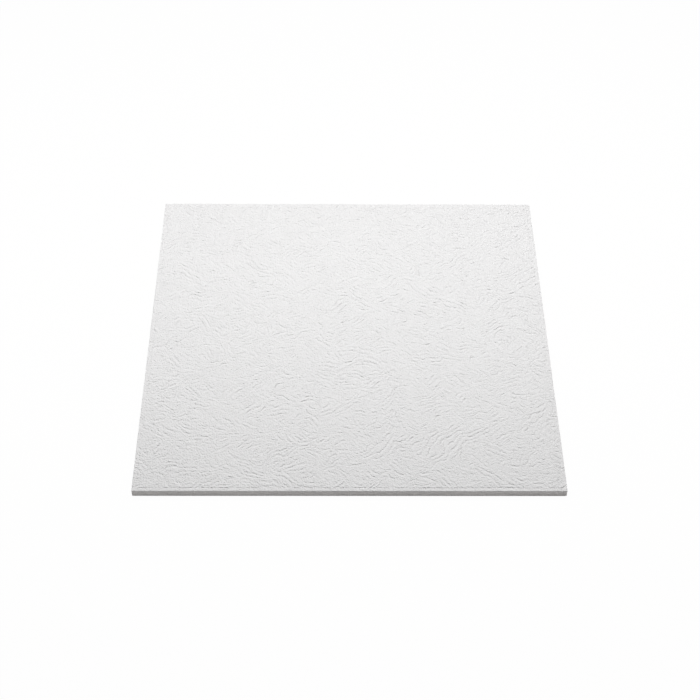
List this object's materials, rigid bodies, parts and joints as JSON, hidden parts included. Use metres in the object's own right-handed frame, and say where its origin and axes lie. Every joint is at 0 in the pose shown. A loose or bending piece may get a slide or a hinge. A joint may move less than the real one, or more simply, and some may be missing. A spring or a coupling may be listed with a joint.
{
  "type": "ceiling tile",
  "caption": "Square foam ceiling tile with a crinkled face like creased leather, a fine groove inside a plain rim and a flat back that is glued to a ceiling.",
  "frame": {"origin": "middle of the flat back face", "axes": "+Z out of the crinkled face, towards the room; +X and +Y along the edges of the tile"},
  "size_m": [0.5, 0.5, 0.01],
  "materials": {
    "foam": "matt moulded bead foam"
  },
  "bodies": {
    "root": {"ceiling_tile": "foam"}
  },
  "joints": []
}
